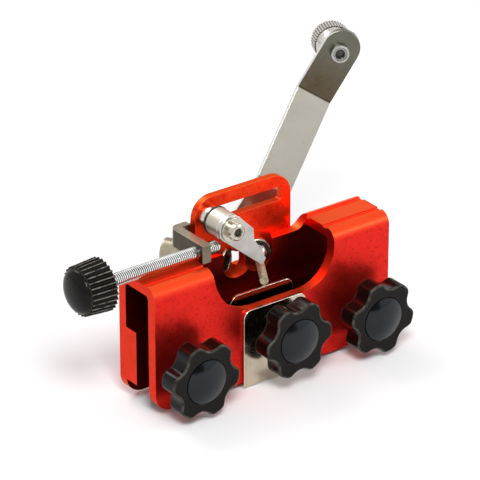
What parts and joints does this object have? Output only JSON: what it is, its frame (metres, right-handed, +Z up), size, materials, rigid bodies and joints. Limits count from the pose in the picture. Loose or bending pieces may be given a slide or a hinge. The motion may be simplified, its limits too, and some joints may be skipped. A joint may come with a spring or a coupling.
{
  "type": "manual chainsaw sharpener",
  "caption": "Hand-cranked chainsaw sharpener: red clamp body with star knobs, slotted plate, tooth stop with adjuster screw and an angled grinding bit.",
  "frame": {"origin": "centre of the channel's mouth, in the plane of the wall feet", "axes": "+X along the channel towards the crank's end, +Y from the knobs to the slotted plate, +Z up out of the work"},
  "size_m": [0.1939, 0.0964, 0.1302],
  "materials": {
    "red_anodised": "red anodised, satin",
    "sleeve_steel": "turned",
    "bracket_nickel": "satin nickel",
    "screw_black": "blackened",
    "bright_steel": "bright plated",
    "satin_steel": "satin",
    "bit_steel": "ground",
    "abrasive_gold": "abrasive grit, matt",
    "crank_steel": "brushed",
    "pin_steel": "zinc plated",
    "black_plastic": "semi-gloss moulded"
  },
  "bodies": {
    "frame": {"clamp_body": "red_anodised", "slotted_plate": "red_anodised", "plate_screws": "screw_black", "adjuster_bracket": "bracket_nickel", "bracket_screws": "screw_black", "bit_sleeve": "sleeve_steel", "spare_sleeve": "sleeve_steel"},
    "left_pad_body": {"left_pad": "pin_steel"},
    "left_knob_body": {"left_knob": "black_plastic", "left_knob_cap": "black_plastic", "left_stud": "pin_steel"},
    "right_pad_body": {"right_pad": "pin_steel"},
    "right_knob_body": {"right_knob": "black_plastic", "right_knob_cap": "black_plastic", "right_stud": "pin_steel"},
    "clip_body": {"guide_clip": "crank_steel"},
    "centre_knob_body": {"centre_knob": "black_plastic", "centre_knob_cap": "black_plastic", "centre_stud": "pin_steel", "clip_ring": "screw_black"},
    "stop_carriage": {"pivot_pin": "pin_steel", "pin_washer": "pin_steel", "spacer_bush": "satin_steel", "bush_shim": "screw_black", "slot_roller": "bright_steel", "rear_washer": "pin_steel", "rear_nut": "bright_steel"},
    "adjuster": {"adjuster_screw": "bright_steel", "thumb_knob": "black_plastic"},
    "stop_pawl": {"pawl": "satin_steel"},
    "thrust_body": {"thrust_washer": "bright_steel"},
    "crank": {"bit_shank": "bit_steel", "grinding_head": "abrasive_gold", "crank_arm": "crank_steel", "crank_nut": "bright_steel", "grip_screw": "bright_steel", "grip_washer": "bright_steel", "grip_nut": "bright_steel"},
    "crank_grip": {"grip": "satin_steel"}
  },
  "joints": [
    {"name": "left_pad_slide", "type": "slide", "parent": "frame", "child": "left_pad_body", "axis": [0, 1, 0], "range_m": [-0.0016, 0.004]},
    {"name": "left_knob_turn", "type": "hinge", "parent": "left_pad_body", "child": "left_knob_body", "pos_m": [-0.0493, -0.02, 0.018], "axis": [0, 1, 0], "range_deg": [-577, 1441]},
    {"name": "right_pad_slide", "type": "slide", "parent": "frame", "child": "right_pad_body", "axis": [0, 1, 0], "range_m": [-0.0016, 0.004]},
    {"name": "right_knob_turn", "type": "hinge", "parent": "right_pad_body", "child": "right_knob_body", "pos_m": [0.0493, -0.02, 0.018], "axis": [0, 1, 0], "range_deg": [-577, 1441]},
    {"name": "clip_slide", "type": "slide", "parent": "frame", "child": "clip_body", "axis": [0, 1, 0], "range_m": [-0.0022, 0]},
    {"name": "centre_knob_turn", "type": "hinge", "parent": "clip_body", "child": "centre_knob_body", "pos_m": [0.001, -0.02, 0.0225], "axis": [0, 1, 0], "range_deg": [-793, 1]},
    {"name": "carriage_slide", "type": "slide", "parent": "frame", "child": "stop_carriage", "axis": [1, 0, 0], "range_m": [-0.002, 0.009]},
    {"name": "adjuster_turn", "type": "hinge", "parent": "stop_carriage", "child": "adjuster", "pos_m": [-0.05, 0.0007, 0.0635], "axis": [1, 0, 0], "range_deg": [-721, 3241]},
    {"name": "pawl_swing", "type": "hinge", "parent": "stop_carriage", "child": "stop_pawl", "pos_m": [-0.016, -0.0025, 0.0716], "axis": [0, -1, 0], "range_deg": [0, 110]},
    {"name": "spindle_slide", "type": "slide", "parent": "frame", "child": "thrust_body", "axis": [0.515, 0.8572, 0], "range_m": [0, 0.025]},
    {"name": "crank_spin", "type": "hinge", "parent": "thrust_body", "child": "crank", "pos_m": [0.00175, -0.0014, 0.0463], "axis": [0.515, 0.8572, 0], "continuous": true},
    {"name": "grip_spin", "type": "hinge", "parent": "crank", "child": "crank_grip", "pos_m": [0.08265, 0.05017, 0.11612], "axis": [0.4566, 0.8836, -0.1039], "continuous": true}
  ],
  "couplings": [
    {"joint": "left_knob_turn", "follows": "left_pad_slide", "rad_per_m": 6283.2},
    {"joint": "right_knob_turn", "follows": "right_pad_slide", "rad_per_m": 6283.2},
    {"joint": "centre_knob_turn", "follows": "clip_slide", "rad_per_m": 6283.2},
    {"joint": "adjuster_turn", "follows": "carriage_slide", "rad_per_m": 6283.2}
  ]
}
